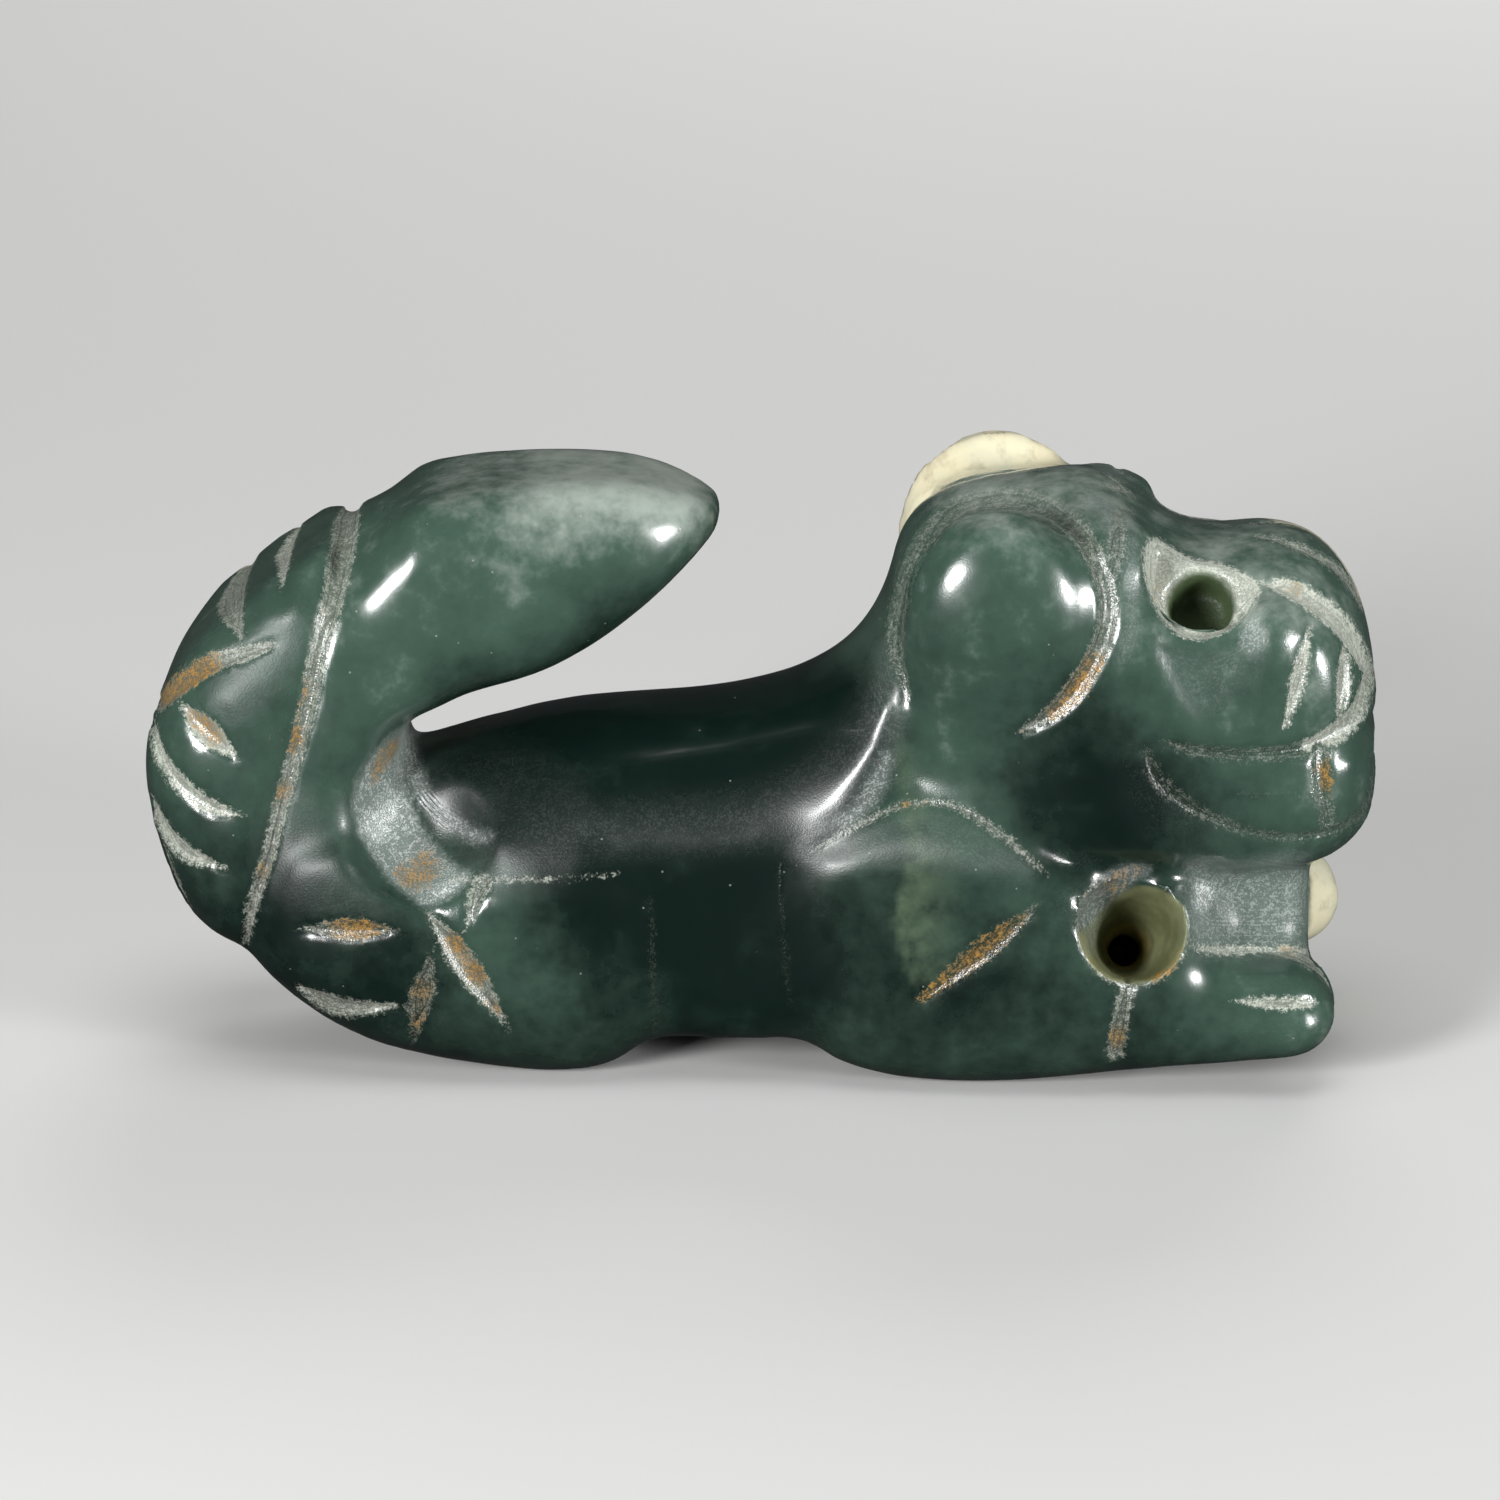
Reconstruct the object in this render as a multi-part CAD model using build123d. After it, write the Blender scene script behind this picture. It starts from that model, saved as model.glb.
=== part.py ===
from build123d import *
import math
import os

# A crouching big cat carved from one block of jade and worn as a pendant.
# +X is the way the cat faces, +Z is up, and the two sides match apart from one raised forepaw.
# The origin lies under the middle of the cat, on the surface that its haunches and elbows rest on.
# All sizes are in millimetres and all angles in degrees.

# Main sizes of the carving
overall_length = 63.7
overall_height = 31.1
trunk_width = 17.6
tail_thickness = 17.0
haunch_width = 19.6
shoulder_width = 20.6
head_width = 18.4

# The ears are smooth bosses, the left one a little larger; its top is the highest point of the carving
ear_length = 10.5
ear_height = 11.9
ear_span = 21.2
ear_bulge = 2.5
ear_ring = 0.9  # width of the ring ground round each ear
ear_ring_depth = 0.5

# The forelegs, with the rounding of their edges as a share of their width
foreleg_length = 13.5
foreleg_height = 5.1
foreleg_width = 6.4
foreleg_slope = 5.0
foreleg_span = 0.97  # over both forelegs, share of the shoulder width
paw_rounding = 0.36

# The stone left standing between the chin and the forelegs
throat_width = 11.0
throat_rear, throat_front = 0.200, 0.446  # shares of the length
throat_low, throat_high = 0.09, 0.40  # shares of the height
throat_rounding = 0.16  # share of its own width

# The ridge over each eye: where its middle sits, and its half sizes as shares of the head width
brow_place = (0.281, 0.26, 0.890)  # shares of the length, head width and height
brow_size = (0.15, 0.20, 0.12)
brow_pitch = 25.0

# The eyes: a drilled pupil in a shallow ground socket, turned up from level
eye_place = (0.354, 0.33, 0.819)  # shares of the length, head width and height
eye_tilt = 38.0
pupil_radius = 1.55
pupil_depth = 2.4
socket_size = (1.9, 1.2, 1.0)  # half sizes of the socket, shares of the pupil radius
socket_lift = 0.3  # share of the pupil radius

# The cord hole, drilled from each side at a slant so that both drillings meet in the middle
hole_place = (0.303, 0.50, 0.295)  # shares of the length, shoulder width and height
throat_radius = 0.85
mouth_radius = 2.85
funnel_depth = 7.0
drill_slant = 26.0
drill_turn = 4.0

# The hollow ground into each side where the tail curls away from the rump
hollow_place = (-0.269, 0.54, 0.468)  # shares of the length, haunch width and height
hollow_radius = 5.6
hollow_narrowing = (0.79, 1.00, 0.87)  # along X, Y and Z

# The mouth line, ground in round the muzzle
mouth_opening = 0.7
mouth_height = 0.591  # share of the height
mouth_rear, mouth_front = 0.325, 0.488  # shares of the length
mouth_core = 0.90  # width left standing inside it, share of the head width
mouth_corner = 0.40  # rounding of its front corners, share of that width

# The ground lines: depth, side slope and reach of the wheel's rim, as shares of a line's width or depth
groove_depth = 0.45
groove_flare = 0.80
groove_rim = 1.60

SIDES = (-1, 1)


def placed(shares, width, side):
    """A point from its shares of the length, of the named width and of the height."""
    x, y, z = shares
    return Vector(x * overall_length, side * y * width, z * overall_height)


def domed_section(x, low, side, top, width, foot_round, edge_round):
    """An upright cross-section: a flat foot, straight sides and an arched top, all joined by arcs."""
    half = width / 2
    across, rise = half - edge_round, top - side
    arch = (across**2 + rise**2 - edge_round**2) / (2 * (rise - edge_round))
    arch_z = top - arch
    lean = math.atan2(across, side - arch_z)
    middle = (lean + math.pi / 2) / 2
    shoulder_y, shoulder_z = arch * math.sin(lean), arch_z + arch * math.cos(lean)
    mid_y = across + edge_round * math.sin(middle)
    mid_z = side + edge_round * math.cos(middle)
    bend = foot_round * (1 - math.sqrt(0.5))

    def spot(y, z):
        return Vector(x, y, z)

    def arc(first, second, third):
        return Edge.make_three_point_arc(spot(*first), spot(*second), spot(*third))

    def line(first, second):
        return Edge.make_line(spot(*first), spot(*second))

    edges = [
        line((-half + foot_round, low), (half - foot_round, low)),
        arc((half - foot_round, low), (half - bend, low + bend), (half, low + foot_round)),
        line((half, low + foot_round), (half, side)),
        arc((half, side), (mid_y, mid_z), (shoulder_y, shoulder_z)),
        arc((shoulder_y, shoulder_z), (0, top), (-shoulder_y, shoulder_z)),
        arc((-shoulder_y, shoulder_z), (-mid_y, mid_z), (-half, side)),
        line((-half, side), (-half, low + foot_round)),
        arc((-half, low + foot_round), (-half + bend, low + bend), (-half + foot_round, low)),
    ]
    return Face(Wire(edges))


def domed_form(rows, width):
    """A form lofted along the cat; the rows hold shares of the length, height and the form's width."""
    sections = []
    for x, low, side, top, wide, foot_round, edge_round in rows:
        sections.append(
            domed_section(
                x * overall_length,
                low * overall_height,
                side * overall_height,
                top * overall_height,
                wide * width,
                foot_round * width,
                edge_round * width,
            )
        )
    return loft(sections)


TRUNK = [
    # x, belly, side top, back, width, belly rounding, back rounding
    (-0.330, 0.091, 0.333, 0.454, 0.88, 0.12, 0.10),
    (-0.247, 0.065, 0.374, 0.530, 0.97, 0.12, 0.12),
    (-0.178, 0.065, 0.384, 0.570, 1.00, 0.12, 0.13),
    (-0.083, 0.065, 0.394, 0.594, 1.00, 0.12, 0.13),
    (0.000, 0.065, 0.404, 0.619, 1.00, 0.12, 0.13),
    (0.045, 0.065, 0.434, 0.655, 1.00, 0.12, 0.14),
    (0.078, 0.065, 0.505, 0.711, 0.98, 0.12, 0.16),
    (0.104, 0.065, 0.626, 0.806, 0.92, 0.12, 0.16),
    (0.160, 0.065, 0.666, 0.828, 0.88, 0.12, 0.16),
]
HEAD = [
    # x, jaw, side top, crown, width, jaw rounding, crown rounding
    (0.104, 0.565, 0.707, 0.808, 0.60, 0.08, 0.10),
    (0.114, 0.505, 0.777, 0.894, 0.78, 0.10, 0.12),
    (0.145, 0.424, 0.818, 0.949, 0.90, 0.14, 0.15),
    (0.204, 0.384, 0.818, 0.981, 0.97, 0.16, 0.16),
    (0.257, 0.374, 0.808, 0.989, 1.00, 0.16, 0.17),
    (0.285, 0.370, 0.788, 0.975, 1.00, 0.16, 0.19),
    (0.312, 0.367, 0.747, 0.924, 1.00, 0.16, 0.22),
    (0.336, 0.364, 0.730, 0.897, 0.98, 0.16, 0.22),
    (0.382, 0.363, 0.725, 0.890, 0.95, 0.16, 0.22),
    (0.425, 0.363, 0.740, 0.897, 0.91, 0.16, 0.19),
    (0.452, 0.369, 0.715, 0.873, 0.86, 0.16, 0.16),
    (0.474, 0.389, 0.672, 0.824, 0.77, 0.15, 0.14),
    (0.491, 0.424, 0.606, 0.744, 0.62, 0.12, 0.10),
    (0.500, 0.495, 0.565, 0.646, 0.36, 0.06, 0.06),
]
HAUNCH = [
    # x, foot, side top, top, width, foot rounding, top rounding
    (-0.425, 0.232, 0.313, 0.389, 0.62, 0.08, 0.08),
    (-0.400, 0.164, 0.343, 0.419, 0.86, 0.14, 0.09),
    (-0.352, 0.084, 0.363, 0.444, 0.97, 0.20, 0.10),
    (-0.281, 0.026, 0.363, 0.454, 1.00, 0.22, 0.12),
    (-0.195, 0.000, 0.363, 0.454, 1.00, 0.22, 0.12),
    (-0.133, 0.003, 0.353, 0.434, 0.98, 0.22, 0.10),
    (-0.100, 0.038, 0.323, 0.394, 0.94, 0.20, 0.09),
    (-0.085, 0.101, 0.283, 0.338, 0.86, 0.12, 0.07),
]
SHOULDER = [
    # x, foot, side top, top, width, foot rounding, top rounding
    (0.025, 0.111, 0.303, 0.363, 0.85, 0.12, 0.06),
    (0.041, 0.055, 0.343, 0.434, 0.90, 0.16, 0.08),
    (0.072, 0.022, 0.384, 0.475, 0.94, 0.17, 0.09),
    (0.133, 0.000, 0.414, 0.505, 0.98, 0.17, 0.09),
    (0.195, 0.000, 0.384, 0.475, 1.00, 0.17, 0.09),
    (0.242, 0.010, 0.333, 0.409, 1.00, 0.16, 0.08),
    (0.320, 0.030, 0.313, 0.384, 1.00, 0.15, 0.08),
    (0.347, 0.045, 0.293, 0.358, 0.97, 0.13, 0.07),
    (0.359, 0.071, 0.252, 0.313, 0.90, 0.09, 0.05),
]
TAIL = [
    # outer x, outer z, inner x, inner z, thickness, rounding; from the root in the rump to the tip
    (-0.440, 0.217, -0.300, 0.192, 0.90, 0.40),
    (-0.480, 0.303, -0.270, 0.293, 1.00, 0.37),
    (-0.499, 0.466, -0.291, 0.447, 1.00, 0.33),
    (-0.479, 0.661, -0.288, 0.579, 0.98, 0.31),
    (-0.427, 0.783, -0.270, 0.608, 0.94, 0.29),
    (-0.342, 0.901, -0.245, 0.630, 0.88, 0.29),
    (-0.247, 0.974, -0.194, 0.658, 0.82, 0.31),
    (-0.167, 0.991, -0.141, 0.705, 0.74, 0.35),
    (-0.106, 0.986, -0.088, 0.788, 0.62, 0.39),
    (-0.060, 0.959, -0.052, 0.858, 0.42, 0.44),
    (-0.036, 0.937, -0.034, 0.899, 0.20, 0.44),
]


def tail():
    """The curled tail; a ring's rounding is a share of its smaller side."""
    rings = []
    for outer_x, outer_z, inner_x, inner_z, thickness, rounding in TAIL:
        outer = Vector(outer_x * overall_length, 0, outer_z * overall_height)
        inner = Vector(inner_x * overall_length, 0, inner_z * overall_height)
        across = outer - inner
        thick = thickness * tail_thickness
        ring = RectangleRounded(across.length, thick, rounding * min(across.length, thick))
        place = Plane(origin=(outer + inner) / 2, x_dir=across, z_dir=across.cross(Vector(0, 1, 0)))
        rings.append(place * ring)
    return loft(rings)


FORELEGS = [
    # side, reach of the paw as a share of the length, height of the paw's middle as a share of the height
    (-1, 0.468, 0.142),
    (1, 0.476, 0.201),
]


def foreleg(side, reach, lift):
    """One foreleg, as a bar with round ends and rounded flanks, nose up by the foreleg's slope."""
    outset = (foreleg_span * shoulder_width - foreleg_width) / 2
    bar = extrude(SlotOverall(foreleg_length, foreleg_height), foreleg_width / 2, both=True)
    outline = bar.edges().filter_by(GeomType.CIRCLE) + bar.edges().filter_by(Axis.X)
    bar = Rot(90, 0, 0) * Pos(-foreleg_length / 2, 0, 0) * fillet(outline, paw_rounding * foreleg_width)
    return Pos(reach * overall_length, side * outset, lift * overall_height) * Rot(0, -foreleg_slope, 0) * bar


def throat():
    rear, front = throat_rear * overall_length, throat_front * overall_length
    low, high = throat_low * overall_height, throat_high * overall_height
    block = Pos((rear + front) / 2, 0, (low + high) / 2) * Box(front - rear, throat_width, high - low)
    return fillet(block.faces().sort_by(Axis.X)[-1].edges(), throat_rounding * throat_width)


def brow(side):
    size = tuple(share * head_width for share in brow_size)
    return Pos(*placed(brow_place, head_width, side)) * Rot(0, brow_pitch, 0) * scale(Sphere(1), by=size)


EARS = [
    # side, middle as a share of the length, top as a share of the height, size as a share of the ear's sizes
    (-1, 0.193, 0.990, 0.945),
    (1, 0.188, 1.000, 1.000),
]


def ear_centre(side, place, top, size):
    outset = ear_span / 2 - ear_bulge
    return Vector(place * overall_length, side * outset, top * overall_height - size * ear_height / 2)


def ear(side, place, top, size):
    """One ear, a smooth boss."""
    boss = scale(Sphere(1), by=(size * ear_length / 2, ear_bulge, size * ear_height / 2))
    return Pos(*ear_centre(side, place, top, size)) * boss


def ear_bed(side, place, top, size):
    """The ground-back ring round one ear."""
    centre = ear_centre(side, place, top, size)
    rim = Ellipse(size * ear_length / 2 + ear_ring, size * ear_height / 2 + ear_ring)
    floor = side * (head_width / 2 - ear_ring_depth)
    place = Plane(origin=(centre.X, floor, centre.Z), x_dir=(1, 0, 0), z_dir=(0, side, 0))
    return extrude(place * rim, ear_span / 2)


def eye(side):
    """The shallow socket of one eye and the pupil drilled into it."""
    place = Pos(*placed(eye_place, head_width, side)) * Rot(-side * (90 - eye_tilt), 0, 0)
    socket = scale(Sphere(1), by=tuple(share * pupil_radius for share in socket_size))
    pupil = Pos(0, 0, pupil_radius - pupil_depth) * Cylinder(pupil_radius, 2 * pupil_radius)
    return place * (Pos(0, 0, socket_lift * pupil_radius) * socket + pupil)


def cord_hole(side):
    """One slanted drilling: a funnel at the surface and a narrow round throat that just passes the middle."""
    mouth = placed(hole_place, shoulder_width, side)
    place = Pos(*mouth) * Rot(0, 0, -side * drill_turn) * Rot(-side * (90 - drill_slant), 0, 0)
    slope = (mouth_radius - throat_radius) / funnel_depth
    run_out = mouth_radius
    flare = Cone(throat_radius, mouth_radius + slope * run_out, funnel_depth + run_out)
    inward = math.cos(math.radians(drill_slant)) * math.cos(math.radians(drill_turn))
    reach = abs(mouth.Y) / inward + throat_radius / 2
    tunnel = Pos(0, 0, -reach / 2) * Cylinder(throat_radius, reach)
    return place * (Pos(0, 0, (run_out - funnel_depth) / 2) * flare + tunnel)


def curl_hollow(side):
    size = tuple(share * hollow_radius for share in hollow_narrowing)
    return Pos(*placed(hollow_place, haunch_width, side)) * scale(Sphere(1), by=size)


def mouth():
    """The line of the mouth: a level slot round the muzzle, open to the front and to both sides."""
    level = mouth_height * overall_height
    rear, front = mouth_rear * overall_length, mouth_front * overall_length
    core_width = mouth_core * head_width
    reach = overall_length / 2 - rear
    sheet = Plane(origin=(rear + reach, 0, level)) * Rectangle(2 * reach, 2 * head_width)
    core = RectangleRounded(2 * core_width, core_width, mouth_corner * core_width)
    core = Plane(origin=(front - core_width, 0, level)) * core
    return extrude(sheet - core, mouth_opening / 2, both=True)


GROOVES = [
    # x, distance from the middle, z, face tilt, direction, length, width
    (-0.328, 0.225, 0.850, 50.0, -100.0, 0.100, 0.021),
    (-0.363, 0.390, 0.626, 0.0, -104.0, 0.165, 0.019),
    (-0.397, 0.395, 0.370, 0.0, -105.0, 0.150, 0.013),
    (-0.430, 0.385, 0.700, 0.0, 27.0, 0.101, 0.017),
    (-0.438, 0.400, 0.604, 0.0, -48.0, 0.070, 0.021),
    (-0.446, 0.405, 0.537, 0.0, -46.0, 0.105, 0.014),
    (-0.457, 0.405, 0.430, 0.0, -46.0, 0.087, 0.013),
    (-0.470, 0.390, 0.361, 0.0, -68.0, 0.076, 0.012),
    (-0.325, 0.475, 0.277, 0.0, 1.0, 0.078, 0.018),
    (-0.329, 0.450, 0.159, 0.0, -10.0, 0.081, 0.014),
    (-0.271, 0.475, 0.168, 0.0, 76.0, 0.076, 0.020),
    (-0.232, 0.480, 0.210, 0.0, -56.0, 0.117, 0.022),
    (-0.223, 0.475, 0.320, 0.0, 65.0, 0.040, 0.014),
    (0.178, 0.500, 0.254, 0.0, 38.0, 0.125, 0.021),
    (0.289, 0.495, 0.143, 0.0, 86.0, 0.056, 0.016),
    (0.429, 0.385, 0.709, 0.0, 80.0, 0.079, 0.011),
]


def groove(side, x, y, z, tilt, direction, length, width):
    """A lens-shaped cut, as the rim of a grinding wheel leaves it.

    x, length and width are shares of the length, y of the shoulder width and z of the height. The tilt is how
    far the face looks up, and the direction is how far the line turns from +X towards +Z; both are in degrees.
    """
    long, wide = length * overall_length, width * overall_length
    deep = groove_depth * wide
    radius = (long**2 / 4 + deep**2) / (2 * deep)
    hub, flare = radius - groove_rim * deep, groove_flare * wide
    rim = Polyline((0, -flare), (hub, -flare), (radius, 0), (hub, flare), (0, flare), close=True)
    wheel = revolve(make_face(rim), Axis.Y)
    lean, turn = math.radians(tilt), math.radians(direction)
    outward = Vector(0, side * math.cos(lean), math.sin(lean))
    upward = Vector(0, -side * math.sin(lean), math.cos(lean))
    along = Vector(math.cos(turn), 0, 0) + upward * math.sin(turn)
    centre = placed((x, y, z), shoulder_width, side) + outward * (radius - deep)
    return Plane(origin=centre, x_dir=outward, z_dir=along) * wheel


def ground():
    """Everything under the surface that the cat rests on, which trims its haunches and elbows flat."""
    return Pos(0, 0, -overall_height / 2) * Box(2 * overall_length, 2 * shoulder_width, overall_height)


def build():
    forms = [domed_form(HEAD, head_width), domed_form(HAUNCH, haunch_width)]
    forms += [domed_form(SHOULDER, shoulder_width), tail(), throat()]
    forms += [foreleg(*row) for row in FORELEGS]
    forms += [brow(side) for side in SIDES]
    body = domed_form(TRUNK, trunk_width).fuse(*forms)
    body = body.cut(*[ear_bed(*row) for row in EARS])
    body = body.fuse(*[ear(*row) for row in EARS])
    cuts = [ground(), mouth()]
    for side in SIDES:
        cuts += [curl_hollow(side), cord_hole(side), eye(side)]
        cuts += [groove(side, *row) for row in GROOVES]
    return body.cut(*cuts)


os.makedirs("parts", exist_ok=True)
carving = build()
export_step(carving, "parts/big_cat.step")
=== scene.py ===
import math

import bmesh
import bpy
import numpy as np
from bpy.props import FloatProperty, FloatVectorProperty, IntProperty, PointerProperty
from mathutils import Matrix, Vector, noise


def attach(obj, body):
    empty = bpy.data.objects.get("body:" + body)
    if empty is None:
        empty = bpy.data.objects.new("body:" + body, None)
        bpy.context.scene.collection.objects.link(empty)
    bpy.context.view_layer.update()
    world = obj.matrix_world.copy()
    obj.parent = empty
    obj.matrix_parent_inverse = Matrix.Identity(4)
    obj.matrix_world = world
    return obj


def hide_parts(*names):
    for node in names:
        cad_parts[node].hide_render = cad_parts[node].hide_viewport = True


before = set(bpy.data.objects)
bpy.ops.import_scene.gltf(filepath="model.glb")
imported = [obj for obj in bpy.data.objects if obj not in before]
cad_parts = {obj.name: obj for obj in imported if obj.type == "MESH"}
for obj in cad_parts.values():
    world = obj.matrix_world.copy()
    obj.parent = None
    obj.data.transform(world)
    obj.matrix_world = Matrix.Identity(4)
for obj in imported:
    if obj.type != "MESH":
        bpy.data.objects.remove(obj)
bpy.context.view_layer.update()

bl_info = {
    "name": "Jade Big Cat",
    "version": (1, 0, 0),
    "blender": (4, 5, 0),
    "location": "3D View > Sidebar > Jade Cat",
    "description": "A crouching big cat carved in jade: its ground lines, polish, stains and stage",
    "category": "Object",
}

# The stone is worked on in millimetres and handed to Blender in metres
MM = 0.001

# The picture: its points across and down, the millimetres it spans at the cat, the camera's sensor, the
# place the picture is centred on, and the eye's distance and angles
PICTURE_POINTS = 1500
PICTURE_WIDTH = 78.125
SENSOR_WIDTH = 36.0
AIM = np.array((-0.68, 0.0, 15.56))
EYE_DISTANCE = 450.0
EYE_AZIMUTH = 2.0
EYE_ELEVATION = 16.5


def direction(azimuth, elevation):
    """The way from the cat towards something seen at these angles; azimuth 0 is on its right side."""
    a, e = math.radians(azimuth), math.radians(elevation)
    return np.array((math.sin(a) * math.cos(e), -math.cos(a) * math.cos(e), math.sin(e)))


TO_EYE = direction(EYE_AZIMUTH, EYE_ELEVATION)
RIGHTWARD = direction(EYE_AZIMUTH + 90.0, 0.0)
UPWARD = np.cross(TO_EYE, RIGHTWARD)

# What a point counts as past an edge on another part of the stone, and how far from an edge the material
# still tells distances apart, in millimetres
FAR_AWAY = 9.0
EDGE_REACH = 1.5

# How far the stone has to face the eye for a line, a zone or a stain to reach it: 1 is straight towards
# it and 0 is edge on
LINE_FACING = 0.02
ZONE_FACING = -0.2
STAIN_FACING = -0.3

# Millimetres from the middle on the far side: where its pale places and its stains start, and how much
# further off a pale place counts
FAR_PALE_FROM = 0.5
FAR_STAINS_FROM = 3
FAR_PALE_SHIFT = 4

# How far above the middle of a drilled hole's mouth its wall still reaches, in millimetres
BORE_LIP = 1.7


class StoneSettings(bpy.types.PropertyGroup):
    """How finely the stone's skin is made and how its surface is worked."""

    grain: FloatProperty(
        name="Skin grain", description="Length of the skin's meshes", default=0.36 * MM, unit="LENGTH"
    )
    blending: IntProperty(
        name="Blending", description="Rounds of smoothing that melt the forms into each other", default=16
    )
    waviness: FloatProperty(
        name="Waviness", description="Height of the worked surface's waves", default=0.05 * MM, unit="LENGTH"
    )


class JadeSettings(bpy.types.PropertyGroup):
    """The stone's colours and polish."""

    # Also the colour that painted shade darkens the trunk, the back and the curl's bowl to
    deep: FloatVectorProperty(
        name="Deep green",
        description="The darkest of the stone",
        subtype="COLOR",
        default=(0.0035, 0.012, 0.009),
    )
    body: FloatVectorProperty(
        name="Body green", description="Most of the stone", subtype="COLOR", default=(0.062, 0.115, 0.086)
    )
    # Also the colour of painted light where the tone spots lighten the stone
    cloud: FloatVectorProperty(
        name="Cloud", description="The pale clouds in the stone", subtype="COLOR", default=(0.50, 0.56, 0.50)
    )
    vein: FloatVectorProperty(
        name="Vein",
        description="The yellower vein on the shoulder",
        subtype="COLOR",
        default=(0.130, 0.185, 0.110),
    )
    rind: FloatVectorProperty(
        name="Rind", description="The weathered cream side", subtype="COLOR", default=(0.92, 0.85, 0.60)
    )
    ground: FloatVectorProperty(
        name="Ground",
        description="Stone where it is ground and clean",
        subtype="COLOR",
        default=(0.68, 0.71, 0.62),
    )
    dirt: FloatVectorProperty(
        name="Dirt",
        description="What has settled in the lines",
        subtype="COLOR",
        default=(0.035, 0.042, 0.026),
    )
    rust: FloatVectorProperty(
        name="Rust", description="The stain in the lines", subtype="COLOR", default=(0.17, 0.095, 0.020)
    )
    polish: FloatProperty(
        name="Polish", description="Roughness under the last polish", default=0.24, min=0.0, max=1.0
    )


class StageSettings(bpy.types.PropertyGroup):
    """The floor and the lights."""

    floor_size: FloatProperty(
        name="Floor size", description="Side of the floor", default=4.0, unit="LENGTH"
    )
    floor_colour: FloatVectorProperty(
        name="Floor colour", description="Pale and plain", subtype="COLOR", default=(0.90, 0.90, 0.89)
    )
    room_light: FloatProperty(name="Room light", description="Strength of the even light", default=0.03)
    left_lamp: FloatProperty(
        name="Left lamp", description="Power of the left lamp", default=1.7, unit="POWER"
    )
    right_lamp: FloatProperty(
        name="Right lamp", description="Power of the right lamp", default=1.35, unit="POWER"
    )
    top_lamp: FloatProperty(
        name="Top lamp", description="Power of the wide lamp above", default=1.3, unit="POWER"
    )
    back_lamp: FloatProperty(
        name="Back lamp", description="Power of the lamp behind", default=0.8, unit="POWER"
    )
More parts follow.
